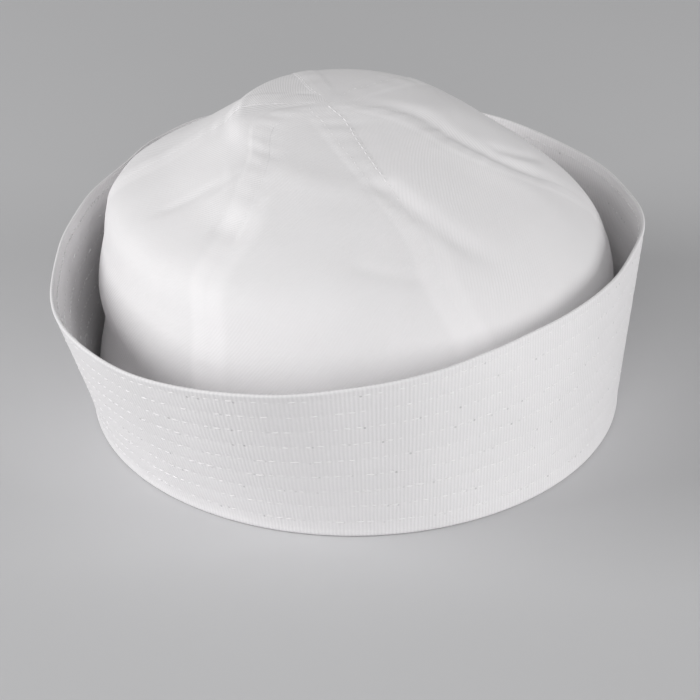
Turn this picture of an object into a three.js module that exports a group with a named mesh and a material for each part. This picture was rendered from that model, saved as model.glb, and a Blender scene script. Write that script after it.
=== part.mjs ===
// A sailor cap: a soft crown sewn from six gores, standing in the fold of a turned-up stitched brim.
// Millimetres and degrees, +Z up. The front is -Y. A bearing turns from the front towards +X.
import * as THREE from "three";

// The oval that the brim's fold stands on, at its outer face. The head opening inside it is a size 58.
const FOOT = { halfWidth: 88.5, halfLength: 105.5 };

// The gap that gores keep at a seam, the slack of the channel that the crown stands in, and the single
// cloth that the crown and the brim's hem are cut from.
const GAP = 0.5;
const SLACK = 0.7;
const CLOTH = 1.2;

// The brim: a band of doubled cloth, folded under the crown's foot, with a hem that stands up inside.
// It bends from upright to its full lean over the first part of its slant.
const BRIM = { slant: 61, wall: 2, hemHeight: 12, foldFloor: 1.6, edge: 0.6, bend: 5 };
const BRIM_ROWS = [2.5, 5, 9, 36];
const BRIM_STEPS = 64;

// How far the brim leans out from upright, in equal steps round the cap from the front.
const BRIM_LEAN = [
  { bearing: 0, lean: 12.2 },
  { bearing: 30, lean: 3.2 },
  { bearing: 60, lean: 4.9 },
  { bearing: 90, lean: 9.3 },
  { bearing: 120, lean: 5.7 },
  { bearing: 150, lean: 6.6 },
  { bearing: 180, lean: 11.5 },
  { bearing: 210, lean: 8.6 },
  { bearing: 240, lean: 2.7 },
  { bearing: 270, lean: 8.7 },
  { bearing: 300, lean: 22.1 },
  { bearing: 330, lean: 21.8 },
];

// The crown's outer face, in level sections from the foot to the top. Side is how far a section's middle
// lies towards +X, and front and back are its lengths from there.
const CROWN_INSET = BRIM.wall + SLACK;
const CROWN_FOOT = {
  halfWidth: FOOT.halfWidth - CROWN_INSET,
  side: 0,
  front: FOOT.halfLength - CROWN_INSET,
  back: FOOT.halfLength - CROWN_INSET,
};
const CROWN_SECTIONS = [
  { height: BRIM.foldFloor + GAP, ...CROWN_FOOT },
  { height: 16, ...CROWN_FOOT },
  { height: 32, halfWidth: 84.8, side: 1.8, front: 102.5, back: 102 },
  { height: 46, halfWidth: 86, side: 1.3, front: 101.5, back: 98.5 },
  { height: 60, halfWidth: 82.6, side: 0.2, front: 96.5, back: 88.5 },
  { height: 75, halfWidth: 73.5, side: -4.7, front: 85.5, back: 76 },
  { height: 87, halfWidth: 56, side: -1.9, front: 65.5, back: 59 },
  { height: 96.7, halfWidth: 41.4, side: -0.5, front: 42, back: 46 },
  { height: 103, halfWidth: 30, side: -2.7, front: 14, back: 34 },
  { height: 105.3, halfWidth: 0, side: -5.6, front: 0, back: 0 },
];

// Dents and folds of the crown: a line over the cloth from one bearing and level to another, how wide
// the fold is, and how far it stands out. A level is 0 at the foot and 1 at the top.
const CROWN_FOLDS = [
  { name: "crease left of the front", from: [300, 0.717], to: [290, 0.609], width: 8, rise: -1 },
  { name: "crease right of the front", from: [3, 0.777], to: [37, 0.57], width: 9, rise: -1.5 },
  { name: "bump above the left seam", from: [303, 0.714], to: [322, 0.684], width: 9, rise: 1 },
  { name: "edge of the flat top", from: [306, 0.747], to: [360, 0.749], width: 9, rise: 0.7 },
  { name: "line along the right seam", from: [56, 0.842], to: [84, 0.57], width: 8, rise: -1 },
];

// The gores in turn, each with the bearing of the seam that it starts at, how far that seam is pulled
// round on its way to the top, and the level where the pull starts.
const GORES = [
  { name: "gore_front_right", seam: 20, pull: -25, start: 0.6 },
  { name: "gore_back_right", seam: 88, pull: -43, start: 0.45 },
  { name: "gore_back", seam: 140, pull: -12, start: 0.5 },
  { name: "gore_back_left", seam: 200, pull: -3, start: 0.5 },
  { name: "gore_front_left", seam: 260, pull: -9, start: 0.6 },
  { name: "gore_front", seam: 320, pull: -14, start: 0.6 },
];
const PULL_END = 0.95;
const HALF_GORE = 30;
const GORE_ROWS = 16;
const PANEL_COLUMNS = 6;

// The felled seams: a welt beside each seam line, from just above the hem to the top. Near the tip the
// welt, and the welt with its slope, take up these shares of the gore's width.
const WELT = { halfWidth: 3.5, slope: 2, rise: 0.8, startHeight: 14, fullHeight: 24 };
const TIP_SHARES = { welt: 1 / 5, slope: 2 / 7 };
const TIP_RADIUS = 1.2;

const COTTON = { color: 0xf2f1ef, roughness: 0.9, metalness: 0 };

const { clamp, degToRad, euclideanModulo, radToDeg, smoothstep } = THREE.MathUtils;

// A smooth curve through four evenly spaced values, between the second and the third.
function curveThrough([before, start, end, after], t) {
  const bend = 2 * before - 5 * start + 4 * end - after;
  const twist = 3 * (start - end) + after - before;
  return start + 0.5 * t * (end - before + t * (bend + t * twist));
}

// Moves every vertex of a geometry to where the function puts it.
function reshape(geometry, place) {
  const position = geometry.getAttribute("position");
  const vertex = new THREE.Vector3();
  for (let index = 0; index < position.count; index += 1) {
    const { x, y, z } = place(vertex.fromBufferAttribute(position, index));
    position.setXYZ(index, x, y, z);
  }
  geometry.computeVertexNormals();
  return geometry;
}

function ovalPoint(halfWidth, halfLength, bearing) {
  const turn = degToRad(bearing);
  return new THREE.Vector3(halfWidth * Math.sin(turn), -halfLength * Math.cos(turn), 0);
}

function leanAt(bearing) {
  const count = BRIM_LEAN.length;
  const place = (euclideanModulo(bearing, 360) / 360) * count;
  const first = Math.floor(place);
  const leans = [-1, 0, 1, 2].map((step) => BRIM_LEAN[(first + step + count) % count].lean);
  return curveThrough(leans, place - first);
}

// Where the brim's outer face has got to at a length up its slant: how far out, how high, and its tilt.
function brimPath(bearing, along) {
  const lean = degToRad(leanAt(bearing));
  const steps = 24;
  const path = { out: 0, up: 0, tilt: 0 };
  for (let step = 0; step < steps; step += 1) {
    path.tilt = lean * smoothstep(((step + 0.5) / steps) * along, 0, BRIM.bend);
    path.out += (Math.sin(path.tilt) * along) / steps;
    path.up += (Math.cos(path.tilt) * along) / steps;
  }
  return path;
}

// A point of the brim's cloth: across runs in from its outer face, along runs up its slant.
// Past the brim's own wall comes the hem, which stands upright.
function brimPoint(bearing, across, along) {
  const isHem = across > BRIM.wall + SLACK / 2;
  const path = isHem ? { out: 0, up: along, tilt: 0 } : brimPath(bearing, along);
  const outward = ovalPoint(1 / FOOT.halfWidth, 1 / FOOT.halfLength, bearing).normalize();
  const reach = path.out - across * Math.cos(path.tilt);
  const height = path.up + across * Math.sin(path.tilt);
  return ovalPoint(FOOT.halfWidth, FOOT.halfLength, bearing).addScaledVector(outward, reach).setZ(height);
}

// The brim's section as [across, along] corners: outer face, rim, inner face, the channel that the crown
// stands in, the hem and the flat foot.
function brimSection() {
  const { slant, wall, hemHeight, foldFloor, edge } = BRIM;
  const hemOuter = wall + SLACK + CLOTH + SLACK;
  const hemInner = hemOuter + CLOTH;
  return [
    [edge, 0],
    [0, edge],
    ...BRIM_ROWS.map((along) => [0, along]),
    [0, slant - edge],
    [edge, slant],
    [wall - edge, slant],
    [wall, slant - edge],
    ...BRIM_ROWS.toReversed().map((along) => [wall, along]),
    [wall, foldFloor],
    [hemOuter, foldFloor],
    [hemOuter, hemHeight],
    [hemInner, hemHeight],
    [hemInner, edge],
    [hemInner - edge, 0],
    [edge, 0],
  ];
}

// The brim is turned as a round ring and then bent to the foot's oval and its own lean.
function brimGeometry() {
  const profile = brimSection().map(([across, along]) => new THREE.Vector2(FOOT.halfWidth - across, along));
  const ring = new THREE.LatheGeometry(profile, BRIM_STEPS);
  return reshape(ring, ({ x, y, z }) => {
    return brimPoint(radToDeg(Math.atan2(x, z)), FOOT.halfWidth - Math.hypot(x, z), y);
  });
}

// One column of the crown's sections at a level. Past the top the sections come back mirrored, which
// makes the top smooth.
function crownColumn(column, level) {
  const last = CROWN_SECTIONS.length - 1;
  const place = clamp(level, 0, 1) * last;
  const first = Math.min(Math.floor(place), last - 1);
  const pastTop = column === "height" || column === "side" ? 1 : -1;
  const values = [-1, 0, 1, 2].map((step) => {
    const row = Math.max(first + step, 0);
    return row > last ? pastTop * CROWN_SECTIONS[2 * last - row][column] : CROWN_SECTIONS[row][column];
  });
  return curveThrough(values, place - first);
}

function smoothCrownPoint(bearing, level) {
  const halfLength = crownColumn(Math.cos(degToRad(bearing)) > 0 ? "front" : "back", level);
  const point = ovalPoint(crownColumn("halfWidth", level), halfLength, bearing);
  point.x += crownColumn("side", level);
  return point.setZ(crownColumn("height", level));
}

// The direction that a surface of bearings and levels faces.
function outwardOf(surface, bearing, level) {
  const turn = 1;
  const step = 0.001;
  const across = surface(bearing + turn, level).sub(surface(bearing - turn, level));
  const up = surface(bearing, level + step).sub(surface(bearing, level - step));
  return across.cross(up).normalize();
}

// The crown's outer face with its dents and folds, before the seams.
function crownPoint(bearing, level) {
  const point = smoothCrownPoint(bearing, level);
  const nearest = new THREE.Vector3();
  let rise = 0;
  for (const fold of CROWN_FOLDS) {
    const line = new THREE.Line3(smoothCrownPoint(...fold.from), smoothCrownPoint(...fold.to));
    line.closestPointToPoint(point, true, nearest);
    rise += fold.rise * Math.exp(-((nearest.distanceTo(point) / fold.width) ** 2));
  }
  return point.addScaledVector(outwardOf(smoothCrownPoint, bearing, level), rise);
}

function seamBearing(gore, level) {
  return gore.seam + gore.pull * smoothstep(level, gore.start, PULL_END);
}

// The places across a gore of some width, from seam to seam: the edge, the welt, the welt's slope and
// the panel, and the same again at the far side.
function goreColumns(width) {
  const welt = Math.min(WELT.halfWidth, width * TIP_SHARES.welt);
  const slope = Math.min(WELT.halfWidth + WELT.slope, width * TIP_SHARES.slope);
  const columns = [
    { along: GAP / 2, onWelt: true },
    { along: welt, onWelt: true },
  ];
  for (let column = 0; column <= PANEL_COLUMNS; column += 1) {
    columns.push({ along: slope + ((width - 2 * slope) * column) / PANEL_COLUMNS, onWelt: false });
  }
  columns.push({ along: width - welt, onWelt: true }, { along: width - GAP / 2, onWelt: true });
  return columns;
}

const COLUMN_STEPS = PANEL_COLUMNS + 4;
const TIP_LEVEL = 1 - TIP_RADIUS / CROWN_SECTIONS.at(-2).halfWidth / (CROWN_SECTIONS.length - 1);

// A gore is a flat box bent over the crown: x runs across it, y up it and z through its cloth.
function goreGeometry(index) {
  const gore = GORES[index];
  const next = GORES[(index + 1) % GORES.length];
  const lengthColumn = Math.cos(degToRad(gore.seam + HALF_GORE)) > 0 ? "front" : "back";
  const blank = new THREE.BoxGeometry(1, 1, 1, COLUMN_STEPS, GORE_ROWS, 1);
  return reshape(blank, ({ x, y, z }) => {
    const level = (y + 0.5) * TIP_LEVEL;
    const start = seamBearing(gore, level);
    const angle = euclideanModulo(seamBearing(next, level) - start, 360);
    const radius = 0.5 * (crownColumn("halfWidth", level) + crownColumn(lengthColumn, level));
    const width = degToRad(angle) * radius;
    const column = goreColumns(width)[Math.round((x + 0.5) * COLUMN_STEPS)];
    const bearing = start + (column.along / width) * angle;
    const point = crownPoint(bearing, level);
    const welt = column.onWelt ? WELT.rise * smoothstep(point.z, WELT.startHeight, WELT.fullHeight) : 0;
    return point.addScaledVector(outwardOf(crownPoint, bearing, level), z > 0 ? welt : -CLOTH);
  });
}

function piece(name, geometry) {
  const mesh = new THREE.Mesh(geometry, new THREE.MeshStandardMaterial(COTTON));
  mesh.name = name;
  return mesh;
}

const cap = new THREE.Group();
cap.add(piece("brim", brimGeometry()));
GORES.forEach((gore, index) => cap.add(piece(gore.name, goreGeometry(index))));

// The origin is the middle of the cap's box, on the surface that it stands on.
const middle = new THREE.Box3().setFromObject(cap).getCenter(new THREE.Vector3());
cap.children.forEach((mesh) => mesh.position.set(-middle.x, -middle.y, 0));

export default cap;
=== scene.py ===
"""A white sailor cap: a soft crown of six sewn gores, with a stitched brim turned up round it.

Metres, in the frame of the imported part: +Z is up and the front is -Y. A bearing is in degrees and
turns from the front towards +X. A level runs up the crown, from 0 at its foot to 1 at its top.
"""

import math
from collections import namedtuple

import bmesh
import bpy
import numpy as np
from bpy.props import FloatProperty, FloatVectorProperty, IntProperty, PointerProperty
from mathutils import Matrix, Vector


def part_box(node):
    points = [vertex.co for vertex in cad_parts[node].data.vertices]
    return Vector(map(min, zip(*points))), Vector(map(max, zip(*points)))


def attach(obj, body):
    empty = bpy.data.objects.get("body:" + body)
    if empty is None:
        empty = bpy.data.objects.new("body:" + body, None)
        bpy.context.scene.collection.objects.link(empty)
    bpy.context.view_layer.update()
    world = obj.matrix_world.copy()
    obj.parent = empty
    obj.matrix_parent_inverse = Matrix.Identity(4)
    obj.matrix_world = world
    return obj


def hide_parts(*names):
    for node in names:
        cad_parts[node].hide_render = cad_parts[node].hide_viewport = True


bl_info = {
    "name": "Sailor Cap",
    "version": (1, 0, 0),
    "blender": (4, 5, 0),
    "location": "View3D > Sidebar > Sailor Cap",
    "description": "Makes a white sailor cap with a gored crown and a turned-up stitched brim",
    "category": "Add Mesh",
}

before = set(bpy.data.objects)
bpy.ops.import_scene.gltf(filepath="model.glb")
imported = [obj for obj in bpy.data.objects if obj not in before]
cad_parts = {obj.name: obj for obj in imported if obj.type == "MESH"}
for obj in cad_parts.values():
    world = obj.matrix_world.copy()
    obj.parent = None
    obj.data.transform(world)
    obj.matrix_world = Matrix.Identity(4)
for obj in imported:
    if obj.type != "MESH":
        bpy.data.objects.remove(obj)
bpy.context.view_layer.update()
MM = 0.001

# Tables of the shape, in millimetres and degrees

# How far the brim leans out from upright, in equal steps round the cap from the front.
Lean = namedtuple("Lean", "bearing lean")
BRIM_LEAN = [
    Lean(0, 12.2),
    Lean(30, 3.2),
    Lean(60, 4.9),
    Lean(90, 9.3),
    Lean(120, 5.7),
    Lean(150, 6.6),
    Lean(180, 11.5),
    Lean(210, 8.6),
    Lean(240, 2.7),
    Lean(270, 8.7),
    Lean(300, 22.1),
    Lean(330, 21.8),
]

# Level sections of the crown. Side is how far a section's middle lies towards +X.
Section = namedtuple("Section", "height half_width side front back")
CROWN_SECTIONS = [
    Section(2.1, 85.8, 0, 102.8, 102.8),
    Section(16, 85.8, 0, 102.8, 102.8),
    Section(32, 84.8, 1.8, 102.5, 102),
    Section(46, 86, 1.3, 101.5, 98.5),
    Section(60, 82.6, 0.2, 96.5, 88.5),
    Section(75, 73.5, -4.7, 85.5, 76),
    Section(87, 56, -1.9, 65.5, 59),
    Section(96.7, 41.4, -0.5, 42, 46),
    Section(103, 30, -2.7, 14, 34),
    Section(105.3, 0, -5.6, 0, 0),
]

# Folds of the crown: places on its line as bearing and level, its width and how far it stands out.
Fold = namedtuple("Fold", "name line width rise")
CROWN_FOLDS = [
    Fold("crease left of the front", [(300, 0.717), (290, 0.609)], 2.4, -0.5),
    Fold("crease right of the front", [(3, 0.777), (12, 0.744), (23, 0.684), (37, 0.57)], 4, -1.4),
    Fold("bump above the left seam", [(303, 0.714), (322, 0.684)], 9, 1),
    Fold("dent on the left seam", [(311, 0.642), (322, 0.649)], 5, -0.7),
    Fold("edge of the flat top", [(300, 0.717), (306, 0.747), (326, 0.777), (360, 0.749)], 6, 0.7),
    Fold(
        "line along the right seam",
        [(72, 0.96), (56, 0.89), (56, 0.842), (62, 0.789), (77, 0.649), (84, 0.57)],
        3.5,
        -1.1,
    ),
    Fold("edge below the right seam", [(35, 0.86), (53, 0.764), (64, 0.679), (71, 0.6)], 6, 0.7),
    Fold("fork of the right seam's line", [(74, 0.73), (94, 0.586)], 2.5, -0.6),
    Fold("faint line across the front", [(358, 0.612), (378, 0.566)], 3, -0.4),
    Fold("pucker behind the top", [(262, 0.92), (210, 0.975)], 1.5, -0.2),
    Fold("pucker beside the top", [(272, 0.93), (285, 0.985)], 1.5, -0.2),
]

# The gores in turn: the bearing of the seam that each starts at, how far that seam is pulled round higher
# up, the level where the pull starts, and how far the stitches on its other seam stand out near the top.
Gore = namedtuple("Gore", "name seam pull start thread")
GORES = [
    Gore("gore_front_right", 20, -25, 0.6, -0.12),
    Gore("gore_back_right", 88, -43, 0.45, -0.04),
    Gore("gore_back", 140, -12, 0.5, -0.02),
    Gore("gore_back_left", 200, -3, 0.5, -0.1),
    Gore("gore_front_left", 260, -9, 0.6, -0.14),
    Gore("gore_front", 320, -14, 0.6, 0.06),
]

# The level where the pull ends, and half the angle of a gore.
PULL_END_LEVEL = 0.95
HALF_GORE = 30

# Fixed values, in metres, degrees and shares

# How many short lines a fold has between its places, and the shares of its length over which it tapers.
FOLD_STEPS = 5
FOLD_TAPER = (-0.1, 0.2)

# Soft waves of the cloth: their lengths, and the seeds of their random draws. Each is a sum of several
# plain waves. On the crown a share of a shorter one is added to the long one.
Wave = namedtuple("Wave", "length seed")
RIM_WAVE = Wave(0.021, 3)
BRIM_WAVE = Wave(0.06, 7)
CROWN_WAVE = Wave(0.05, 11)
CROWN_RIPPLE = Wave(0.019, 12)
RIPPLE_SHARE = 0.35
RIPPLE_WAVES = 6

# Shares of the brim's slant between which it comes free to wave.
FREE_SHARES = (0.15, 0.6)

# A gore's grid, with its rows closer near the tip. Its columns are closer at both sides: these shares of
# them reach as far as the fine part of each side does.
GORE_COLUMNS = 110
GORE_ROWS = 170
TIP_CROWDING = 1.35
COLUMN_SHARES = [0, 0.22, 0.7, 1]

# The steps over which a surface's facing is measured, and the levels between which it is.
FACING_TURN = 0.5
FACING_STEP = 0.002
FOOT_FACING_LEVEL = 0.01
TOP_FACING_LEVEL = 0.99

# Levels: where the crown's cloth gets loose, where its seams are drawn in tight, and where their
# stitches start and end.
LOOSE_LEVELS = (0.15, 0.4)
TIGHT_LEVELS = (0.66, 0.8)
SEWN_LEVELS = (0.14, 0.985)

# Heights between which the gores come out of the brim's fold and their seams are felled.
FELLED_HEIGHTS = (0.014, 0.026)

# Parts of a gore beside its seams: the width of each in strips, and the most of the gore that it takes up.
SidePart = namedtuple("SidePart", "strips share")
STRIP = SidePart(1, 0.45)
OVERLAP = SidePart(0.5, 0.2)
UNDERLAP = SidePart(0.4, 0.15)
FINE_PART = SidePart(2, 0.25)

# A gore that is narrower than this number of strips has less relief at its seams.
NARROW_STRIPS = 4

# Distances from a seam, in strips, over which its plies end: on the gore below and on the one folded over
# it. Where the seam is drawn in tight, this share of their whiteness is lost.
PLIES_BELOW = (0.9, 1.6)
PLIES_FOLDED = (0.4, 1.0)
TIGHT_LOSS = 0.8

# What is left lower down of a seam strip's lift and of its gathers, and how far its stitches stand out
# there, in millimetres.
LOW_LIFT = 0.5
LOW_GATHERS = 0.3
LOW_THREAD = -0.14

# The share of a seam strip's lift that is left at its folded edge, near the top and lower down, where the
# edge lies pressed into the next gore.
EDGE_SHARE_TOP = 0.3
EDGE_SHARE_LOW = -0.4

# The gathers beside a seam: their lengths, their reach in strips, and how they shift from seam to seam.
GATHER_LENGTHS = (0.0057, 0.0083)
GATHER_REACH = 0.8
GATHER_SHIFT = 1.7

# A stitch's height and the dip of its ends, as shares of the thread's width, and how much deeper a row of
# seam stitches lies, as a share of its distance from the fold.
STITCH_HEIGHT = 0.8
STITCH_DIP = 0.4
ROW_SINK = 0.018

# How unevenly the stitches are sewn: the seed of the random draws, and the spread of the stitches along
# their row, as a share of a stitch, of their distance beside it, of their slope and of their length.
Sewing = namedtuple("Sewing", "seed along aside slope stretch")
SEAM_SEWING = Sewing(21, 0.05, 0.00008, 0, 0.06)
BRIM_SEWING = Sewing(31, 0, 0.0001, 0.07, 0.14)

# Short steps that show which way a stitch lies: up the crown, across a gore and up the brim.
LEVEL_STEP = 0.004
ACROSS_STEP = 0.0003
SLANT_STEP = 0.0005

# Where round the brim its stitches are slackest, and so stand out most.
SLACKEST_BEARING = -45

# Weaves of the two cloths: the turn of their ridges, how far these waver, how much painted shade greys
# the valleys, the height of the slubs, and the depth and strength of the relief.
Weave = namedtuple("Weave", "turn waver shading slub depth strength")
TWILL = Weave(-math.pi / 4, 0.35, 0.13, 0.5, 0.00012, 0.36)
RIBS = Weave(0.0, 0.25, 0.29, 0.7, 0.00018, 0.5)

# Heights of the ridges and of the finer yarn that crosses them, and the scales of noise in the cloth.
RIDGE_HEIGHT = 0.38
KNUCKLE_HEIGHT = 0.12
DRIFT_SCALE = 180.0
SLUB_SCALE = 700.0
PATCH_SCALE = 22.0
TWIST_SCALE = 3500.0

# Soft patches of a greyer tone: the noise over which they come in, and how strong they are.
PATCH_RANGE = (0.35, 0.75)
PATCH_SHARE = 0.18

# Needle holes, darkened with painted shade: the chance over which they open, the share of a hole that is
# its core, and its depth.
OPEN_RANGE = (0.72, 1.05)
HOLE_CORE = 0.4
HOLE_DEPTH = 1.5

# The soft lights of the stage: their places and sizes, and the setting that holds the power of each.
Light = namedtuple("Light", "name place size power")
LIGHTS = [
    Light("front_light", (0, -2.2, 0.6), 1.4, "front_power"),
    Light("high_light", (0, -1.6, 1.7), 1.4, "high_power"),
    Light("left_light", (-2, -0.1, 0.8), 1.4, "left_power"),
    Light("right_light", (2, -0.7, 0.4), 1, "right_power"),
]
LIGHT_AIM = Vector((0, 0, 0.05))

# Steps of meshes and curves, and the distances within which points are on one face or are one point.
BRIM_COLUMNS = 440
CURVE_STEPS = 24
LINE_STEPS = 400
GIRTH_STEPS = 3600
ON_FACE = 0.1 * MM
ONE_POINT = 0.01 * MM


# Curves and surfaces


def smooth_step(value, start, end):
    """0 before start, 1 after end, and an easy curve between them."""
    share = np.clip((value - start) / (end - start), 0, 1)
    return share * share * (3 - 2 * share)


def bump(distance, width):
    """1 on a line, fading to nothing about two widths away from it."""
    return np.exp(-((distance / width) ** 2))


def between(low, high, share):
    """A value part of the way from one to another."""
    return low + (high - low) * share


def nearest_on_line(points, line):
    """How far points lie from a line through several places, and how far along it, from 0 to 1."""
    distances, shares = [], []
    for step, (start, end) in enumerate(zip(line[:-1], line[1:])):
        way = end - start
        share = np.clip((points - start) @ way / (way @ way), 0, 1)
        distances.append(np.linalg.norm(points - start - share[..., None] * way, axis=-1))
        shares.append((step + share) / (len(line) - 1))
    nearest = np.argmin(distances, axis=0)[None]
    return [np.take_along_axis(np.array(values), nearest, 0)[0] for values in (distances, shares)]


def curve_through(before, start, end, after, share):
    """A smooth curve through four evenly spaced values, between the second and the third."""
    bend = 2 * before - 5 * start + 4 * end - after
    twist = 3 * (start - end) + after - before
    return start + 0.5 * share * (end - before + share * (bend + share * twist))


def ripple(points, wavelength, seed):
    """A smooth uneven wave through space, mostly between -1 and 1."""
    chance = np.random.default_rng(seed)
    ways = chance.normal(size=(RIPPLE_WAVES, 3))
    ways /= np.linalg.norm(ways, axis=1, keepdims=True)
    starts = chance.uniform(0, 2 * math.pi, RIPPLE_WAVES)
    waves = np.sin(points @ ways.T * (2 * math.pi / wavelength) + starts)
    return waves.sum(axis=-1) / math.sqrt(RIPPLE_WAVES)


def lengths_along(points):
    """The length of a line of points from its start to each of them."""
    steps = np.linalg.norm(np.diff(points, axis=0), axis=1)
    return np.concatenate([[0], np.cumsum(steps)])


def oval(half_width, half_length, bearing):
    """Points on level ovals at the given bearings."""
    turn = np.radians(bearing)
    return np.stack([half_width * np.sin(turn), -half_length * np.cos(turn), 0 * turn], axis=-1)


def unit(vectors):
    """The same directions with a length of 1."""
    return vectors / np.linalg.norm(vectors, axis=-1, keepdims=True)


def lean_at(bearing):
    """The brim's lean at the given bearings, in radians."""
    leans = np.radians([row.lean for row in BRIM_LEAN])
    place = np.mod(bearing, 360) / 360 * len(leans)
    first = np.floor(place).astype(int)
    around = [leans[(first + step) % len(leans)] for step in (-1, 0, 1, 2)]
    return curve_through(*around, place - first)


def brim_surface(brim, bearing, across, along):
    """Points of the brim's cloth. Across runs in from its outer face, and along runs up its slant."""
    bearing, across, along = np.broadcast_arrays(bearing, across, along)
    foot = oval(brim.foot_half_width, brim.foot_half_length, bearing)
    outward = unit(oval(1 / brim.foot_half_width, 1 / brim.foot_half_length, bearing))
    is_hem = across > brim.wall + brim.slack / 2
    along = along + np.where(is_hem, 0, brim.waver * ripple(foot, *RIM_WAVE) * along / brim.slant)
    lean = np.where(is_hem, 0, lean_at(bearing))
    steps = (np.arange(CURVE_STEPS) + 0.5) / CURVE_STEPS
    tilts = lean[..., None] * smooth_step(along[..., None] * steps, 0, brim.bend)
    tilt = lean * smooth_step(along, 0, brim.bend)
    free = np.where(is_hem, 0, smooth_step(along / brim.slant, *FREE_SHARES))
    wave = brim.wave * free * ripple(foot + outward * along[..., None], *BRIM_WAVE)
    reach = np.sin(tilts).mean(axis=-1) * along - across * np.cos(tilt) + wave
    points = foot + outward * reach[..., None]
    points[..., 2] = np.cos(tilts).mean(axis=-1) * along + across * np.sin(tilt)
    return points


def crown_column(name, level):
    """One column of the crown's sections at the given levels. Past the top it comes back mirrored."""
    column = np.array([getattr(row, name) for row in CROWN_SECTIONS]) * MM
    last = len(column) - 1
    mirrored = column[-2] if name in ("height", "side") else -column[-2]
    column = np.concatenate([column[:1], column, [mirrored]])
    place = np.clip(level, 0, 1) * last
    first = np.minimum(np.floor(place).astype(int), last - 1)
    return curve_through(*[column[first + step] for step in range(4)], place - first)


def smooth_crown(bearing, level):
    """The crown's outer face before its folds."""
    bearing, level = np.broadcast_arrays(bearing, level)
    is_front = np.cos(np.radians(bearing)) > 0
    half_length = np.where(is_front, crown_column("front", level), crown_column("back", level))
    points = oval(crown_column("half_width", level), half_length, bearing)
    points[..., 0] += crown_column("side", level)
    points[..., 2] = crown_column("height", level)
    return points


def facing(surface, bearing, level):
    """The directions that a surface of bearings and levels faces.

    Its ends face as the cloth beside them does.
    """
    level = np.clip(level, FOOT_FACING_LEVEL, TOP_FACING_LEVEL)
    across = surface(bearing + FACING_TURN, level) - surface(bearing - FACING_TURN, level)
    up = surface(bearing, level + FACING_STEP) - surface(bearing, level - FACING_STEP)
    return unit(np.cross(across, up))


def crown_surface(crown, bearing, level):
    """The crown's outer face with its folds and the soft unevenness of its cloth."""
    points = smooth_crown(bearing, level)
    rise = np.zeros(points.shape[:-1])
    for fold in CROWN_FOLDS:
        bearings, levels = np.transpose(fold.line)
        steps = np.linspace(0, len(fold.line) - 1, FOLD_STEPS * (len(fold.line) - 1) + 1)
        corners = np.arange(len(fold.line))
        line = smooth_crown(np.interp(steps, corners, bearings), np.interp(steps, corners, levels))
        distance, share = nearest_on_line(points, line)
        taper = smooth_step(share, *FOLD_TAPER) * smooth_step(1 - share, *FOLD_TAPER)
        rise += fold.rise * MM * taper * bump(distance, fold.width * MM)
    waves = ripple(points, *CROWN_WAVE) + RIPPLE_SHARE * ripple(points, *CROWN_RIPPLE)
    rise += smooth_step(level, *LOOSE_LEVELS) * crown.unevenness * waves
    return points + facing(smooth_crown, bearing, level) * rise[..., None]


def seam_bearing(gore, level):
    """Where a gore's first seam stands at the given levels."""
    return gore.seam + gore.pull * smooth_step(level, gore.start, PULL_END_LEVEL)


GoreWidth = namedtuple("GoreWidth", "start angle width sewn")


def gore_width(index, level):
    """A gore's start bearing, angle and width at the given levels, and how much of its seams is felled."""
    start = seam_bearing(GORES[index], level)
    angle = np.mod(seam_bearing(GORES[(index + 1) % len(GORES)], level) - start, 360)
    is_front = math.cos(math.radians(GORES[index].seam + HALF_GORE)) > 0
    half_length = crown_column("front" if is_front else "back", level)
    radius = 0.5 * (crown_column("half_width", level) + half_length)
    sewn = smooth_step(crown_column("height", level), *FELLED_HEIGHTS)
    return GoreWidth(start, angle, np.radians(angle) * radius, sewn)


def gore_cloth(crown, index, fold_distance, level):
    """Points of a gore's outer face, by their distance back from its folded edge and their level.

    A felled seam: the gore's far side is folded and lies on the next gore's near side.
    """
    start, angle, width, sewn = gore_width(index, level)
    narrow = smooth_step(width, 0, NARROW_STRIPS * crown.strip)
    along = width + lap(crown, OVERLAP, width, sewn) - fold_distance
    bearing = start + along / width * angle

    def surface(bearing, level):
        return crown_surface(crown, bearing, level)

    tight = seam_tightness(level)
    strip = side_part(crown, STRIP, width)
    edge = between(EDGE_SHARE_LOW, EDGE_SHARE_TOP, tight)
    on_strip = smooth_step(-fold_distance, -strip - crown.strip_slope, -strip)
    off_edge = between(edge, 1, smooth_step(fold_distance, 0, 0.5 * strip))
    rise = crown.strip_lift * between(LOW_LIFT, 1, tight) * on_strip * off_edge
    height = level * crown.length
    gathers = pucker(crown, index + 1, height, along - width) + pucker(crown, index, height, along)
    rise = sewn * narrow * (rise + between(LOW_GATHERS, 1, tight) * gathers)
    return surface(bearing, level) + facing(surface, bearing, level) * rise[..., None]


def seam_tightness(level):
    """How hard the seams are drawn in: fully near the top, and hardly at all lower down."""
    return smooth_step(level, *TIGHT_LEVELS)


def side_part(crown, part, width):
    """The width of a part of a gore beside its seam."""
    return np.minimum(part.strips * crown.strip, part.share * width)


def lap(crown, part, width, sewn):
    """How far a gore reaches past its seam line, over the next gore or under it."""
    return side_part(crown, part, width) * sewn - crown.seam_gap * (1 - sewn)


def pucker(crown, seam, height, distance):
    """The small gathers that a seam's stitching draws up on both its sides."""
    phase = GATHER_SHIFT * (seam % len(GORES))
    short, long = GATHER_LENGTHS
    gathers = np.sin(height * 2 * math.pi / short + phase) + np.sin(height * 2 * math.pi / long - phase)
    return 0.5 * crown.pucker * gathers * bump(distance, GATHER_REACH * crown.strip)


# Meshes


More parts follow.
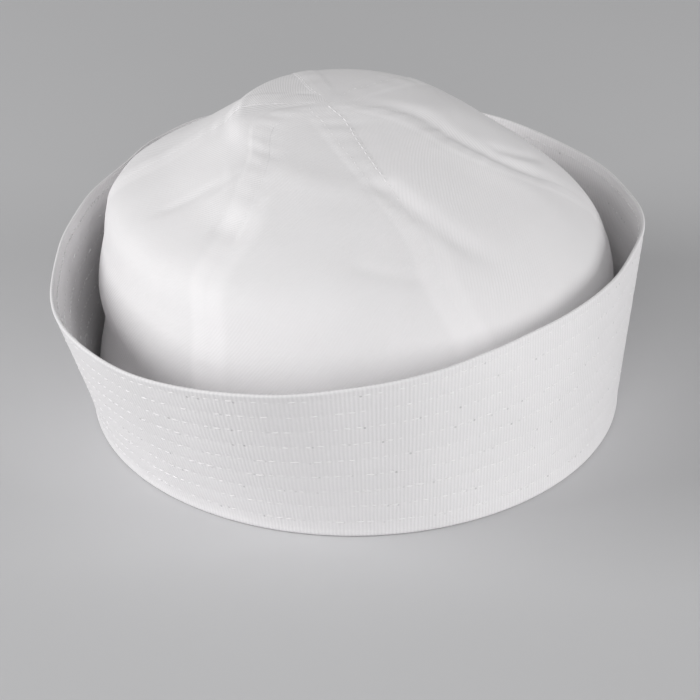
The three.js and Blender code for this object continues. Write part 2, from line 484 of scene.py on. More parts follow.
def flat_grid(name, columns, rows):
    """A mesh that is a flat grid, with the places of its vertices from 0 to 1 across it and up it."""
    sheet = bmesh.new()
    bmesh.ops.create_grid(sheet, x_segments=columns, y_segments=rows, size=0.5)
    mesh = bpy.data.meshes.new(name)
    sheet.to_mesh(mesh)
    sheet.free()
    places = mesh_points(mesh) + 0.5
    return mesh, places[:, 0], places[:, 1]


def mesh_points(mesh):
    """The vertices of a mesh as an array."""
    points = np.empty(3 * len(mesh.vertices), np.float32)
    mesh.vertices.foreach_get("co", points)
    return points.reshape(-1, 3).astype(float)


def move_points(mesh, points):
    """Moves the vertices of a mesh."""
    mesh.vertices.foreach_set("co", points.astype(np.float32).ravel())
    mesh.update()


def set_cloth_map(mesh, across, up):
    """Gives a mesh a UV map in metres of flat cloth."""
    corners = np.empty(len(mesh.loops), np.int32)
    mesh.loops.foreach_get("vertex_index", corners)
    places = np.stack([across, up], axis=-1)[corners]
    mesh.uv_layers.new(name="cloth").data.foreach_set("uv", places.astype(np.float32).ravel())


def set_attribute(mesh, name, values):
    """Stores one number on each vertex of a mesh."""
    attribute = mesh.attributes.new(name, "FLOAT", "POINT")
    attribute.data.foreach_set("value", values.astype(np.float32))


def close_ring(mesh):
    """Joins the meeting edges of a grid that was bent into a closed ring."""
    ring = bmesh.new()
    ring.from_mesh(mesh)
    bmesh.ops.remove_doubles(ring, verts=ring.verts, dist=ONE_POINT)
    bmesh.ops.recalc_face_normals(ring, faces=ring.faces)
    ring.to_mesh(mesh)
    ring.free()


def stitch_shape(length, width):
    """One stitch of thread as points and faces: a plump capsule along X that dips at its ends."""
    shape = bmesh.new()
    bmesh.ops.create_uvsphere(shape, u_segments=6, v_segments=4, radius=0.5)
    bmesh.ops.rotate(shape, verts=shape.verts, matrix=Matrix.Rotation(math.pi / 2, 3, "Y"))
    bmesh.ops.scale(shape, verts=shape.verts, vec=(length, width, STITCH_HEIGHT * width))
    shape.verts.index_update()
    points = np.array([vertex.co for vertex in shape.verts])
    # The sphere's faces come in no fixed order, so they are sorted.
    faces = sorted([vertex.index for vertex in face.verts] for face in shape.faces)
    shape.free()
    points[:, 2] -= STITCH_DIP * width * (2 * points[:, 0] / length) ** 2
    return points, faces


def stitch_mesh(name, shape, places, ways, ups, stretches):
    """One mesh of many stitches, each at its place, along its way, with its up side out and stretched."""
    points, faces = shape
    ways = unit(ways)
    ups = unit(ups - ways * (ups * ways).sum(axis=-1, keepdims=True))
    sides = np.cross(ups, ways)
    turned = np.einsum("pk,skc->spc", points, np.stack([ways * stretches[:, None], sides, ups], axis=1))
    corners = (turned + places[:, None, :]).reshape(-1, 3)
    firsts = range(0, len(corners), len(points))
    joined = [[first + corner for corner in face] for first in firsts for face in faces]
    mesh = bpy.data.meshes.new(name)
    mesh.from_pydata(corners.tolist(), [], joined)
    return mesh


def sharpen_border(mesh):
    """Keeps the smooth shading of a sheet from running on over its cut edge."""
    sheet = bmesh.new()
    sheet.from_mesh(mesh)
    for edge in sheet.edges:
        edge.smooth = not edge.is_boundary
    sheet.to_mesh(mesh)
    sheet.free()


def add_piece(mesh, material, slot, *nodes):
    """Puts a finished mesh in the scene as a piece of the cap."""
    mesh.shade_smooth()
    mesh.materials.append(material)
    piece = bpy.data.objects.new(mesh.name, mesh)
    bpy.context.scene.collection.objects.link(piece)
    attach(piece, "root")
    if nodes:
        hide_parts(*nodes)
    return piece


# Nodes and materials


def put(tree, socket, value):
    """Links a socket to an input, or sets the input to a plain value."""
    if isinstance(value, bpy.types.NodeSocket):
        tree.links.new(value, socket)
    else:
        socket.default_value = value


def calculate(tree, operation, *values):
    """A Math node. Each value is a number or a socket."""
    node = tree.nodes.new("ShaderNodeMath")
    node.operation = operation
    for socket, value in zip(node.inputs, values):
        put(tree, socket, value)
    return node.outputs[0]


def blend_colours(tree, share, first, second):
    """A Mix node between two colours."""
    node = tree.nodes.new("ShaderNodeMix")
    node.data_type = "RGBA"
    put(tree, node.inputs["Factor"], share)
    put(tree, node.inputs["A"], first)
    put(tree, node.inputs["B"], second)
    return node.outputs["Result"]


def fade(tree, value, start, end):
    """A Map Range node that goes smoothly from 0 at start to 1 at end."""
    node = tree.nodes.new("ShaderNodeMapRange")
    node.interpolation_type = "SMOOTHSTEP"
    put(tree, node.inputs["Value"], value)
    put(tree, node.inputs["From Min"], start)
    put(tree, node.inputs["From Max"], end)
    return node.outputs["Result"]


def noise(tree, vector, scale, detail=2.0):
    """A Noise Texture node's value."""
    node = tree.nodes.new("ShaderNodeTexNoise")
    put(tree, node.inputs["Vector"], vector)
    put(tree, node.inputs["Scale"], scale)
    put(tree, node.inputs["Detail"], detail)
    return node.outputs["Fac"]


def new_group(name, inputs, outputs):
    """An empty shader node group, with the nodes that hold its inputs and outputs."""
    group = bpy.data.node_groups.new(name, "ShaderNodeTree")
    for socket_name, kind in inputs:
        group.interface.new_socket(socket_name, in_out="INPUT", socket_type="NodeSocket" + kind)
    for socket_name, kind in outputs:
        group.interface.new_socket(socket_name, in_out="OUTPUT", socket_type="NodeSocket" + kind)
    entry = group.nodes.new("NodeGroupInput")
    leave = group.nodes.new("NodeGroupOutput")
    return group, entry.outputs, leave.inputs


def place_group(tree, group, **values):
    """Puts a node group into a material, and returns its outputs."""
    node = tree.nodes.new("ShaderNodeGroup")
    node.node_tree = group
    for name, value in values.items():
        put(tree, node.inputs[name.replace("_", " ").title()], value)
    return node.outputs


def woven_ridges_group():
    """Parallel ridges of yarn, crossed by finer yarn that breaks them up."""
    name = "Woven Ridges"
    if name in bpy.data.node_groups:
        return bpy.data.node_groups[name]
    inputs = [("Cloth", "Vector"), ("Pitch", "Float"), ("Turn", "Float"), ("Waver", "Float")]
    group, given, result = new_group(name, inputs, [("Height", "Float"), ("Slub", "Float")])
    split = group.nodes.new("ShaderNodeSeparateXYZ")
    put(group, split.inputs[0], given["Cloth"])
    across, up = split.outputs[0], split.outputs[1]
    cosine = calculate(group, "COSINE", given["Turn"])
    sine = calculate(group, "SINE", given["Turn"])
    sideways = calculate(group, "MULTIPLY", across, sine)
    along_ridge = calculate(group, "SUBTRACT", calculate(group, "MULTIPLY", up, cosine), sideways)
    upward = calculate(group, "MULTIPLY", up, sine)
    across_ridge = calculate(group, "ADD", calculate(group, "MULTIPLY", across, cosine), upward)
    drift = calculate(group, "SUBTRACT", noise(group, given["Cloth"], DRIFT_SCALE), 0.5)
    place = calculate(group, "DIVIDE", across_ridge, given["Pitch"])
    place = calculate(group, "MULTIPLY_ADD", drift, given["Waver"], place)
    ridge = calculate(group, "SINE", calculate(group, "MULTIPLY", place, 2 * math.pi))
    step = calculate(group, "MULTIPLY", calculate(group, "FLOOR", place), 0.5)
    weft = calculate(group, "ADD", calculate(group, "DIVIDE", along_ridge, given["Pitch"]), step)
    knuckle = calculate(group, "SINE", calculate(group, "MULTIPLY", weft, 4 * math.pi))
    height = calculate(group, "MULTIPLY_ADD", ridge, RIDGE_HEIGHT, 0.5)
    put(group, result["Height"], calculate(group, "MULTIPLY_ADD", knuckle, KNUCKLE_HEIGHT, height))
    put(group, result["Slub"], noise(group, given["Cloth"], SLUB_SCALE, 3.0))
    return group


def tone_and_weave_shade_group():
    """A cloth's colour, a little greyer in soft patches of its tone, and darker with painted shade in the
    valleys of its weave.
    """
    name = "Cloth Tone"
    if name in bpy.data.node_groups:
        return bpy.data.node_groups[name]
    inputs = [("Place", "Vector"), ("Height", "Float"), ("Depth", "Float")]
    inputs += [("Colour", "Color"), ("Shade", "Color")]
    group, given, result = new_group(name, inputs, [("Colour", "Color")])
    patches = fade(group, noise(group, given["Place"], PATCH_SCALE, 3.0), *PATCH_RANGE)
    # The valleys of the weave are greyed with painted shade; the patches are the cloth's own greyer tone.
    low = calculate(group, "SUBTRACT", 1.0, given["Height"])
    valley_shade = calculate(group, "MULTIPLY", low, given["Depth"])
    share = calculate(group, "MULTIPLY_ADD", patches, PATCH_SHARE, valley_shade)
    put(group, result["Colour"], blend_colours(group, share, given["Colour"], given["Shade"]))
    return group


def new_material(name):
    """A material with only its Principled BSDF, and the nodes' coordinates."""
    material = bpy.data.materials.new(name)
    material.use_nodes = True
    tree = material.node_tree
    shader = tree.nodes["Principled BSDF"]
    cloth = tree.nodes.new("ShaderNodeUVMap")
    cloth.uv_map = "cloth"
    place = tree.nodes.new("ShaderNodeTexCoord")
    return material, shader.inputs, cloth.outputs["UV"], place.outputs["Object"]


def bump_normal(tree, height, distance, strength):
    """A Bump node's normal."""
    node = tree.nodes.new("ShaderNodeBump")
    put(tree, node.inputs["Height"], height)
    put(tree, node.inputs["Distance"], distance)
    put(tree, node.inputs["Strength"], strength)
    return node.outputs["Normal"]


def woven_cotton(name, weave, pitch, settings):
    """A material of woven cotton with its shader's inputs, its cloth map, its relief, and its tone with
    painted shade in its weave's valleys.
    """
    material, shader, cloth, place = new_material(name)
    tree = material.node_tree
    ridges = place_group(
        tree, woven_ridges_group(), cloth=cloth, pitch=pitch, turn=weave.turn, waver=weave.waver
    )
    tone_and_shade = place_group(
        tree,
        tone_and_weave_shade_group(),
        place=place,
        height=ridges["Height"],
        depth=weave.shading,
        colour=(*settings.colour, 1),
        shade=(*settings.shade, 1),
    )
    put(tree, shader["Roughness"], calculate(tree, "MULTIPLY_ADD", ridges["Slub"], 0.15, 0.78))
    finish_cotton(shader)
    relief = calculate(tree, "MULTIPLY_ADD", ridges["Slub"], weave.slub, ridges["Height"])
    return material, shader, cloth, relief, tone_and_shade["Colour"]


def crown_material(crown):
    """Fine cotton twill, whiter along the seams where it lies in several plies, with painted shade in the
    valleys of its twill.
    """
    material, shader, _, relief, tone_and_shade = woven_cotton("crown_twill", TWILL, crown.twill_pitch, crown)
    tree = material.node_tree
    plies = tree.nodes.new("ShaderNodeAttribute")
    plies.attribute_name = "plies"
    whiter = calculate(tree, "MULTIPLY", plies.outputs["Fac"], crown.whiteness)
    put(tree, shader["Base Color"], blend_colours(tree, whiter, tone_and_shade, (*crown.seam_colour, 1)))
    put(tree, shader["Normal"], bump_normal(tree, relief, TWILL.depth, TWILL.strength))
    return material


def brim_material(brim, girth):
    """Ribbed cotton, pricked by the needle along its rows of stitching, with painted shade in its needle
    holes and in the valleys between its ribs.
    """
    pitch = girth / round(girth / brim.rib_pitch)
    material, shader, cloth, relief, tone_and_shade = woven_cotton("brim_cotton", RIBS, pitch, brim)
    tree = material.node_tree
    holes = needle_holes(tree, cloth, brim, girth)
    # Painted shade inside the needle holes.
    painted_hole_shade = calculate(tree, "MULTIPLY", holes, brim.hole_shade_strength)
    put(tree, shader["Base Color"], blend_colours(tree, painted_hole_shade, tone_and_shade, (*brim.hole_shade_colour, 1)))
    relief = calculate(tree, "SUBTRACT", relief, calculate(tree, "MULTIPLY", holes, HOLE_DEPTH))
    put(tree, shader["Normal"], bump_normal(tree, relief, RIBS.depth, RIBS.strength))
    return material


def needle_holes(tree, cloth, brim, girth):
    """A mask of the small holes at the ends of the brim's stitches, for their relief and their painted
    shade.
    """
    split = tree.nodes.new("ShaderNodeSeparateXYZ")
    put(tree, split.inputs[0], cloth)
    pitch = girth / round(girth / brim.stitch_pitch)
    row_place = calculate(
        tree, "DIVIDE", calculate(tree, "SUBTRACT", split.outputs[1], brim.first_row), brim.row_gap
    )
    row = calculate(tree, "ROUND", row_place)
    up = calculate(tree, "MULTIPLY", calculate(tree, "SUBTRACT", row_place, row), brim.row_gap)
    shift = calculate(tree, "FRACT", calculate(tree, "MULTIPLY", row, brim.row_shift))
    stitch_place = calculate(tree, "SUBTRACT", calculate(tree, "DIVIDE", split.outputs[0], pitch), shift)
    stitch = calculate(tree, "FLOOR", stitch_place)
    across = calculate(tree, "SUBTRACT", calculate(tree, "SUBTRACT", stitch_place, stitch), 0.5)
    across = calculate(tree, "MULTIPLY", across, pitch)
    stitch_row = tree.nodes.new("ShaderNodeCombineXYZ")
    put(tree, stitch_row.inputs[0], stitch)
    put(tree, stitch_row.inputs[1], row)
    chance = tree.nodes.new("ShaderNodeTexWhiteNoise")
    chance.noise_dimensions = "2D"
    put(tree, chance.inputs["Vector"], stitch_row.outputs[0])
    strayed = tree.nodes.new("ShaderNodeSeparateColor")
    put(tree, strayed.inputs[0], chance.outputs["Color"])
    across = calculate(tree, "MULTIPLY_ADD", strayed.outputs[1], brim.stray, across)
    up = calculate(tree, "MULTIPLY_ADD", strayed.outputs[2], brim.stray, up)
    square = calculate(tree, "MULTIPLY_ADD", up, up, calculate(tree, "MULTIPLY", across, across))
    hole = fade(tree, calculate(tree, "SQRT", square), brim.hole_size, HOLE_CORE * brim.hole_size)
    is_row = calculate(tree, "LESS_THAN", row, brim.rows - 0.5)
    is_open = fade(tree, chance.outputs["Value"], *OPEN_RANGE)
    return calculate(tree, "MULTIPLY", calculate(tree, "MULTIPLY", hole, is_row), is_open)


def thread_material(thread):
    """White sewing thread with a fine twist, and painted shade between its strands laid by the twist's
    noise.
    """
    material, shader, _, place = new_material("sewing_thread")
    tree = material.node_tree
    twist = noise(tree, place, TWIST_SCALE)
    put(tree, shader["Base Color"], blend_colours(tree, twist, (*thread.colour, 1), (*thread.shade, 1)))
    put(tree, shader["Roughness"], calculate(tree, "MULTIPLY_ADD", twist, 0.2, 0.55))
    put(tree, shader["Normal"], bump_normal(tree, twist, 0.00005, 0.5))
    finish_cotton(shader)
    return material


def floor_material(stage):
    """A matt pale floor."""
    material, shader, _, place = new_material("pale_floor")
    tree = material.node_tree
    dust = noise(tree, place, 6.0, 4.0)
    worn = [0.96 * channel for channel in stage.floor_colour]
    put(tree, shader["Base Color"], blend_colours(tree, dust, (*stage.floor_colour, 1), (*worn, 1)))
    shader["Roughness"].default_value = 0.9
    shader["Specular IOR Level"].default_value = 0.1
    return material


def finish_cotton(shader):
    """The soft lustre of cotton fibres."""
    shader["Specular IOR Level"].default_value = 0.15
    shader["Sheen Weight"].default_value = 0.12
    shader["Sheen Roughness"].default_value = 0.6


# Settings


def length(name, description, default):
    """A setting that is a length in metres."""
    return FloatProperty(
        name=name, description=description, default=default, min=0, unit="LENGTH", precision=5
    )


def factor(name, description, default):
    """A setting that is a share."""
    return FloatProperty(
        name=name, description=description, default=default, min=0, max=1, subtype="FACTOR"
    )


def angle(name, description, degrees):
    """A setting that is an angle."""
    return FloatProperty(
        name=name, description=description, default=math.radians(degrees), subtype="ANGLE"
    )


def power(name, description, default):
    """A setting that is a light's power."""
    return FloatProperty(name=name, description=description, default=default, min=0, unit="POWER")


def colour(name, description, default):
    """A setting that is a colour."""
    return FloatVectorProperty(
        name=name, description=description, default=default, min=0, max=1, size=3, subtype="COLOR"
    )


class CrownSettings(bpy.types.PropertyGroup):
    """The crown's cloth and its felled seams."""

    cloth: length("Cloth", "Thickness of the crown's cloth", 0.0006)
    length: length("Length", "Length of a gore from its foot to its tip", 0.165)
    tip: length("Tip", "Distance from the top at which the gores end", 0.00003)
    strip: length("Strip", "Width of a seam's folded strip", 0.0068)
    strip_lift: length("Strip Lift", "How far a seam's strip stands up", 0.00028)
    strip_slope: length("Strip Slope", "Width over which a strip falls back to the gore", 0.003)
    seam_gap: length("Seam Gap", "Space between the gores in the brim's fold", 0.0002)
    edge_row: length("Edge Row", "Distance of the outer stitches from the fold", 0.0009)
    seam_row: length("Seam Row", "Distance of the inner stitches from the fold", 0.0062)
    stitch_pitch: length("Stitch Pitch", "Length from one stitch to the next", 0.0029)
    stitch_length: length("Stitch Length", "Length of a stitch that shows", 0.0026)
    pucker: length("Pucker", "Height of the gathers beside a seam", 0.0002)
    unevenness: length("Unevenness", "Height of the cloth's soft waves", 0.0002)
    twill_pitch: length("Twill Pitch", "Width of one line of the twill", 0.0009)
    colour: colour("Colour", "Colour of the twill", (0.885, 0.87, 0.88))
    # The twill's shade colour is painted shade in the valleys of its weave, and also the tone of its
    # greyer patches.
    shade: colour("Shade", "Colour of the twill's valleys", (0.72, 0.715, 0.72))
    seam_colour: colour("Seam Colour", "Colour of the twill in several plies", (0.94, 0.925, 0.935))
    whiteness: factor("Whiteness", "How far the seams take their own colour", 0.55)


class BrimSettings(bpy.types.PropertyGroup):
    """The brim's cut, its cloth and its rows of stitches."""

    foot_half_width: length("Foot Half Width", "Half the width of the foot's oval", 0.0885)
    foot_half_length: length("Foot Half Length", "Half the length of the foot's oval", 0.1055)
    slant: length("Slant", "Length of the brim from its fold to its rim", 0.061)
    wall: length("Wall", "Thickness of the brim", 0.002)
    rim: length("Rim", "Thickness of the brim at its rim", 0.0013)
    slack: length("Slack", "Room on each side of the crown's cloth in the fold", 0.0007)
    channel_cloth: length("Channel Cloth", "Thickness that the fold leaves for the crown's cloth", 0.0012)
    hem_wall: length("Hem Wall", "Thickness of the hem inside", 0.0012)
    hem_height: length("Hem Height", "Height of the hem inside", 0.012)
    fold_floor: length("Fold Floor", "Thickness of the fold under the crown's foot", 0.0016)
    edge: length("Edge", "Radius of the fold's lower edges", 0.0012)
    bend: length("Bend", "Length over which the brim takes up its lean", 0.005)
    wave: length("Wave", "Height of the brim's soft waves", 0.0003)
    waver: length("Waver", "Unevenness of the rim's height", 0.00015)
    rows: IntProperty(name="Rows", description="Number of rows of stitches", default=9, min=1)
    first_row: length("First Row", "Distance of the lowest row from the fold", 0.006)
    row_gap: length("Row Gap", "Distance between rows of stitches", 0.0065)
    row_shift: factor("Row Shift", "Share of a stitch by which each row is shifted", 0.37)
    groove: length("Groove", "Depth to which a row of stitches draws in the cloth", 0.00012)
    groove_width: length("Groove Width", "Width of the groove along a row of stitches", 0.0011)
    stitch_pitch: length("Stitch Pitch", "Length from one stitch to the next", 0.0032)
    stitch_length: length("Stitch Length", "Length of a stitch that shows", 0.0027)
    sink: length("Sink", "Depth of the stitches below the bottom of their groove", 0.00006)
    slackness: length("Slackness", "How much the depth of the stitches differs round the brim", 0.00008)
    stray: length("Stray", "How far the needle's holes stray from their row", 0.0006)
    rib_pitch: length("Rib Pitch", "Width of one rib of the cloth", 0.00117)
    colour: colour("Colour", "Colour of the ribbed cotton", (0.885, 0.87, 0.88))
    # The shade colour is painted shade between the ribs, and also the tone of the cloth's greyer patches.
    shade: colour("Shade", "Colour between the ribs", (0.67, 0.665, 0.67))
    # The holes' colour is painted shade inside the needle's holes.
    hole_shade_colour: colour("Hole Colour", "Colour inside the needle's holes", (0.2, 0.2, 0.21))
    hole_shade_strength: factor("Hole Darkness", "How far the holes take their own colour", 0.38)
    hole_size: length("Hole Size", "Radius of a needle's hole with its soft edge", 0.0005)


class ThreadSettings(bpy.types.PropertyGroup):
    """The sewing thread."""

    width: length("Width", "Width of the thread as it lies", 0.00048)
    colour: colour("Colour", "Colour of the thread", (0.92, 0.905, 0.915))
    # The thread's shade colour is painted shade between its strands, laid by the twist's noise.
    shade: colour("Shade", "Colour between the thread's strands", (0.85, 0.84, 0.845))


class StageSettings(bpy.types.PropertyGroup):
    """The floor, the light and the camera."""

    floor_colour: colour("Floor Colour", "Colour of the floor", (0.66, 0.66, 0.67))
    aim: FloatVectorProperty(
        name="Aim",
        description="Point that the camera looks at",
        default=(-0.0009, -0.0107, 0.0205),
        subtype="XYZ",
    )
    elevation: angle("Elevation", "Camera's height above the horizon", 26)
    turn: angle("Turn", "Camera's turn away from the front", -4.4)
    roll: angle("Roll", "Camera's tilt to one side", -1.8)
    distance: length("Distance", "Camera's distance", 1.3)
    lens: FloatProperty(
        name="Lens", description="Camera's focal length", default=199.57, subtype="DISTANCE_CAMERA"
    )
    front_power: power("Front Power", "Light from the front", 12.4)
    high_power: power("High Power", "Light from high in front", 8.4)
    left_power: power("Left Power", "Light from the left", 30)
    right_power: power("Right Power", "Light from the right", 20)
    sky: FloatProperty(name="Sky", description="Strength of light from all round", default=0.225, min=0)
    floor_size: length("Floor Size", "Length of the floor's sides", 30)


class CapSettings(bpy.types.PropertyGroup):
    """All that a user would change about the cap."""

    crown: PointerProperty(type=CrownSettings)
    brim: PointerProperty(type=BrimSettings)
    thread: PointerProperty(type=ThreadSettings)
    stage: PointerProperty(type=StageSettings)


# Pieces


def brim_shift(brim):
    """From the middle of the foot's oval to the frame: the brim's box has the CAD brim's middle."""
    rim = brim_surface(brim, np.arange(360.0), 0.0, brim.slant)
    low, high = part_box("brim")
    middle = 0.5 * (low + high)
    own = 0.5 * (rim.min(axis=0) + rim.max(axis=0))
    return np.array([middle.x - own[0], middle.y - own[1], 0])


def foot_girth(brim):
    """Bearings all the way round the foot's oval from the back, with the length of the oval up to each."""
    bearings = np.linspace(-180, 180, GIRTH_STEPS + 1)
    return bearings, lengths_along(oval(brim.foot_half_width, brim.foot_half_length, bearings))


def arc(centre, radius, start, end, steps):
    """Points on an arc of the brim's section, as across and along, between two angles in degrees."""
    angles = np.radians(np.linspace(start, end, steps + 1))
    return np.array(centre) + radius * np.stack([np.cos(angles), np.sin(angles)], axis=-1)


def straight(start, end, steps):
    """Points between two corners of the brim's section, without the corners."""
    return np.linspace(start, end, steps + 1)[1:-1]


def brim_section(brim):
    """The brim's section as across and along: outer face, rim, inner face, channel, hem and foot."""
    half_rim = 0.5 * brim.rim
    half_hem = 0.5 * brim.hem_wall
    hem_outer = brim.wall + 2 * brim.slack + brim.channel_cloth
    hem_inner = hem_outer + brim.hem_wall
    rim_end = (brim.wall, brim.slant - brim.row_gap)
    fold_corner = (brim.wall, brim.fold_floor)
    hem_corner = (hem_outer, brim.fold_floor)
    rim = arc((half_rim, brim.slant - half_rim), half_rim, 180, 0, steps=8)
    hem_top = arc((hem_outer + half_hem, brim.hem_height - half_hem), half_hem, 180, 0, steps=6)
    inner_edge = arc((hem_inner - brim.edge, brim.edge), brim.edge, 0, -90, steps=4)
    outer_edge = arc((brim.edge, brim.edge), brim.edge, 270, 180, steps=4)
    outline = [
        outer_edge[-1:],
        straight(outer_edge[-1], rim[0], steps=88),
        rim,
        straight(rim[-1], rim_end, steps=8),
        straight(rim_end, fold_corner, steps=44),
        [fold_corner],
        straight(fold_corner, hem_corner, steps=3),
        [hem_corner],
        straight(hem_corner, hem_top[0], steps=6),
        hem_top,
        straight(hem_top[-1], inner_edge[0], steps=8),
        inner_edge,
        straight(inner_edge[-1], outer_edge[0], steps=3),
        outer_edge,
    ]
    return np.concatenate(outline)


def row_heights(brim):
    """How far up the brim's slant each row of stitches lies."""
    return brim.first_row + brim.row_gap * np.arange(brim.rows)


class SAILOR_CAP_OT_brim(bpy.types.Operator):
    """Makes the turned-up brim as one ring of cloth with a rounded rim and a hem inside"""

    bl_idname = "sailor_cap.brim"
    bl_label = "Brim"

    def execute(self, context):
        brim = context.scene.sailor_cap.brim
        section = brim_section(brim)
        mesh, turn, place = flat_grid("brim_cloth", BRIM_COLUMNS, len(section) - 1)
        bearing = 360 * turn - 180
        across, along = section[np.rint(place * (len(section) - 1)).astype(int)].T
        nearest_row = np.abs(along[:, None] - row_heights(brim)).min(axis=1)
        groove = brim.groove * bump(nearest_row, brim.groove_width)
        is_outer = across < ON_FACE
        is_inner = np.abs(across - brim.wall) < ON_FACE
        across = across + np.where(is_outer, groove, 0) - np.where(is_inner, groove, 0)
        move_points(mesh, brim_surface(brim, bearing, across, along) + brim_shift(brim))
        bearings, lengths = foot_girth(brim)
        set_cloth_map(mesh, np.interp(bearing, bearings, lengths), along)
        close_ring(mesh)
        add_piece(mesh, brim_material(brim, lengths[-1]), "brim_cotton", "brim")
        return {"FINISHED"}


class SAILOR_CAP_OT_gores(bpy.types.Operator):
    """Makes the crown's six gores, each folded over the next at its seam"""

    bl_idname = "sailor_cap.gores"
    bl_label = "Gores"

    def execute(self, context):
        cap = context.scene.sailor_cap
        material = crown_material(cap.crown)
        for index, gore in enumerate(GORES):
            mesh = gore_mesh(cap.crown, index, gore.name + "_cloth")
            move_points(mesh, mesh_points(mesh) + brim_shift(cap.brim))
            piece = add_piece(mesh, material, "crown_twill", gore.name)
            sharpen_border(mesh)
            wall = piece.modifiers.new("Cloth", "SOLIDIFY")
            wall.thickness = cap.crown.cloth
            wall.offset = -1
        return {"FINISHED"}


def tip_level(crown):
    """The level at which the gores end, just short of the top."""
    last_section = CROWN_SECTIONS[-2].half_width * MM
    return 1 - crown.tip / last_section / (len(CROWN_SECTIONS) - 1)


def gore_mesh(crown, index, name):
    """A gore's outer face: a flat grid bent over the crown, with its cloth map and its count of plies."""
    mesh, across, up = flat_grid(name, GORE_COLUMNS, GORE_ROWS)
    levels = np.linspace(0, tip_level(crown), LINE_STEPS)
    middle = smooth_crown(float(GORES[index].seam + HALF_GORE), levels)
    lengths = lengths_along(middle)
    height = (1 - (1 - up) ** TIP_CROWDING) * lengths[-1]
    level = np.interp(height, lengths, levels)
    _, _, width, sewn = gore_width(index, level)
    reach = width + lap(crown, OVERLAP, width, sewn)
    under = lap(crown, UNDERLAP, width, sewn)
    fine = side_part(crown, FINE_PART, width)
    distances = np.stack([reach + under, reach - fine, fine, 0 * fine], axis=-1)
    stretch = np.array([np.interp(share, COLUMN_SHARES, row) for share, row in zip(across, distances)])
    move_points(mesh, gore_cloth(crown, index, stretch, level))
    along = reach - stretch
    set_cloth_map(mesh, along - 0.5 * width, height)
    below = 1 - smooth_step(along / crown.strip, *PLIES_BELOW)
    folded = 1 - smooth_step((width - along) / crown.strip, *PLIES_FOLDED)
    loose = 1 - TIGHT_LOSS * seam_tightness(level)
    set_attribute(mesh, "plies", sewn * np.maximum(below, folded) * loose)
    return mesh


class SAILOR_CAP_OT_seam_stitches(bpy.types.Operator):
    """Sews two rows of stitches along each of the crown's seams"""

    bl_idname = "sailor_cap.seam_stitches"
    bl_label = "Seam Stitches"

    def execute(self, context):
        cap = context.scene.sailor_cap
        crown = cap.crown
        chance = np.random.default_rng(SEAM_SEWING.seed)
        rows = [
            seam_row(crown, index, row, chance)
            for index in range(len(GORES))
            for row in (crown.edge_row, crown.seam_row)
        ]
        places, ways, ups = [np.concatenate(column) for column in zip(*rows)]
        places += brim_shift(cap.brim)
        shape = stitch_shape(crown.stitch_length, cap.thread.width)
        stretches = chance.normal(1, SEAM_SEWING.stretch, len(places))
        mesh = stitch_mesh("seam_stitches", shape, places, ways, ups, stretches)
        add_piece(mesh, thread_material(cap.thread), "crown_twill")
        return {"FINISHED"}


def seam_row(crown, index, row, chance):
    """The places, ways and up sides of one row of stitches beside a gore's folded edge."""
    levels = np.linspace(*SEWN_LEVELS, LINE_STEPS)
    line = gore_cloth(crown, index, np.full(LINE_STEPS, row), levels)
    lengths = lengths_along(line)
    count = int(lengths[-1] / crown.stitch_pitch)
    middles = (np.arange(count) + 0.5 + chance.normal(0, SEAM_SEWING.along, count)) * crown.stitch_pitch
    level = np.interp(middles, lengths, levels)
    distance = row + chance.normal(0, SEAM_SEWING.aside, count)

    def cloth(moved, raised):
        return gore_cloth(crown, index, distance + moved, level + raised)

    places = cloth(0, 0)
    ways = cloth(0, LEVEL_STEP) - cloth(0, -LEVEL_STEP)
    sides = cloth(-ACROSS_STEP, 0) - cloth(ACROSS_STEP, 0)
    ups = unit(np.cross(sides, ways))
    proud = MM * between(LOW_THREAD, GORES[index].thread, seam_tightness(level)) - ROW_SINK * row
    return places + ups * proud[:, None], ways, ups


class SAILOR_CAP_OT_brim_stitches(bpy.types.Operator):
    """Sews the rows of stitches that show on the brim's outer and inner faces"""

    bl_idname = "sailor_cap.brim_stitches"
    bl_label = "Brim Stitches"

    def execute(self, context):
        cap = context.scene.sailor_cap
        material = bpy.data.materials["sewing_thread"]
        for name, is_inside in (("brim_stitches", False), ("brim_stitches_inside", True)):
            mesh = brim_stitch_mesh(cap, name, is_inside)
            add_piece(mesh, material, "brim_cotton")
        return {"FINISHED"}


def brim_stitch_mesh(cap, name, is_inside):
    """All rows of stitches on one face of the brim."""
    brim = cap.brim
    chance = np.random.default_rng(BRIM_SEWING.seed + is_inside)
    bearings, lengths = foot_girth(brim)
    count = round(lengths[-1] / brim.stitch_pitch)
    pitch = lengths[-1] / count
    shift = np.modf(np.arange(brim.rows) * brim.row_shift)[0]
    middles = (np.arange(count)[None, :] + 1 + shift[:, None]) * pitch
    bearing = np.interp(np.mod(middles, lengths[-1]), lengths, bearings).ravel()
    along = np.repeat(row_heights(brim), count) + chance.normal(0, BRIM_SEWING.aside, bearing.size)
    slackness = brim.slackness * np.cos(np.radians(bearing - SLACKEST_BEARING))
    depth = brim.groove + brim.sink - slackness + chance.normal(0, brim.slackness, bearing.size)
    across = brim.wall - depth if is_inside else depth

    def cloth(turned, raised):
        return brim_surface(brim, bearing + turned, across, along + raised)

    across_way = unit(cloth(FACING_TURN, 0) - cloth(-FACING_TURN, 0))
    up_way = unit(cloth(0, SLANT_STEP) - cloth(0, -SLANT_STEP))
    ups = np.cross(across_way, up_way)
    ways = across_way + up_way * chance.normal(0, BRIM_SEWING.slope, bearing.size)[:, None]
    if is_inside:
        ways, ups = -ways, -ups
    places = cloth(0, 0) + brim_shift(brim)
    stretches = chance.normal(1, BRIM_SEWING.stretch, bearing.size)
    shape = stitch_shape(brim.stitch_length, cap.thread.width)
    return stitch_mesh(name, shape, places, ways, ups, stretches)


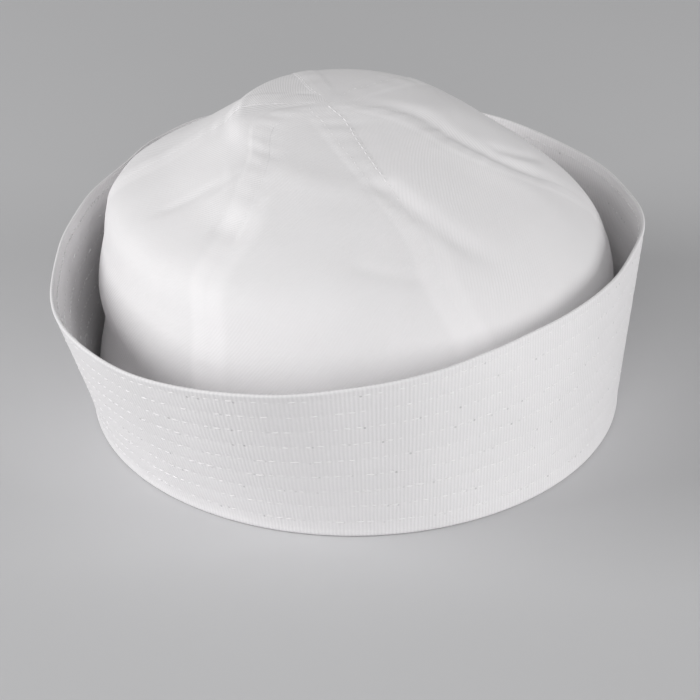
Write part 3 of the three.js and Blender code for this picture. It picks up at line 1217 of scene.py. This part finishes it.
class SAILOR_CAP_OT_stage(bpy.types.Operator):
    """Makes the floor, the soft lights and the camera"""

    bl_idname = "sailor_cap.stage"
    bl_label = "Stage"

    def execute(self, context):
        stage = context.scene.sailor_cap.stage
        mesh, _, _ = flat_grid("floor", 1, 1)
        mesh.transform(Matrix.Scale(stage.floor_size, 4))
        mesh.materials.append(floor_material(stage))
        floor = bpy.data.objects.new("floor", mesh)
        context.scene.collection.objects.link(floor)
        for light in LIGHTS:
            add_light(light, getattr(stage, light.power))
        world = bpy.data.worlds.new("studio")
        world.use_nodes = True
        background = world.node_tree.nodes["Background"].inputs
        background["Strength"].default_value = stage.sky
        background["Color"].default_value = (1, 1, 1, 1)
        context.scene.world = world
        context.scene.view_settings.view_transform = "Standard"
        add_camera(context.scene, stage)
        return {"FINISHED"}


def add_light(light, watts):
    """A large square light that faces the cap."""
    area = bpy.data.lights.new(light.name, "AREA")
    area.size = light.size
    area.energy = watts
    lamp = bpy.data.objects.new(light.name, area)
    lamp.location = light.place
    lamp.rotation_euler = (LIGHT_AIM - lamp.location).to_track_quat("-Z", "Y").to_euler()
    bpy.context.scene.collection.objects.link(lamp)


def add_camera(scene, stage):
    """The camera, which looks down at the front of the cap."""
    camera = bpy.data.cameras.new("camera")
    camera.lens = stage.lens
    viewer = bpy.data.objects.new("camera", camera)
    turned = Matrix.Rotation(stage.turn, 4, "Z") @ Matrix.Rotation(math.pi / 2 - stage.elevation, 4, "X")
    aimed = Matrix.Translation(stage.aim) @ turned
    away = Matrix.Translation((0, 0, stage.distance))
    viewer.matrix_world = aimed @ away @ Matrix.Rotation(stage.roll, 4, "Z")
    scene.collection.objects.link(viewer)
    scene.camera = viewer


# Panel and registration

OPERATORS = [
    SAILOR_CAP_OT_brim,
    SAILOR_CAP_OT_gores,
    SAILOR_CAP_OT_seam_stitches,
    SAILOR_CAP_OT_brim_stitches,
    SAILOR_CAP_OT_stage,
]


class SAILOR_CAP_PT_panel(bpy.types.Panel):
    """Lists the cap's pieces in the order they are made"""

    bl_idname = "SAILOR_CAP_PT_panel"
    bl_label = "Sailor Cap"
    bl_space_type = "VIEW_3D"
    bl_region_type = "UI"
    bl_category = "Sailor Cap"

    def draw(self, context):
        for operator in OPERATORS:
            self.layout.operator(operator.bl_idname)


CLASSES = [
    CrownSettings,
    BrimSettings,
    ThreadSettings,
    StageSettings,
    CapSettings,
    *OPERATORS,
    SAILOR_CAP_PT_panel,
]


def register():
    for cls in CLASSES:
        bpy.utils.register_class(cls)
    bpy.types.Scene.sailor_cap = PointerProperty(type=CapSettings)


def unregister():
    del bpy.types.Scene.sailor_cap
    for cls in reversed(CLASSES):
        bpy.utils.unregister_class(cls)


def main():
    register()
    bpy.ops.sailor_cap.brim()
    bpy.ops.sailor_cap.gores()
    bpy.ops.sailor_cap.seam_stitches()
    bpy.ops.sailor_cap.brim_stitches()
    bpy.ops.sailor_cap.stage()


if __name__ == "__main__":
    main()
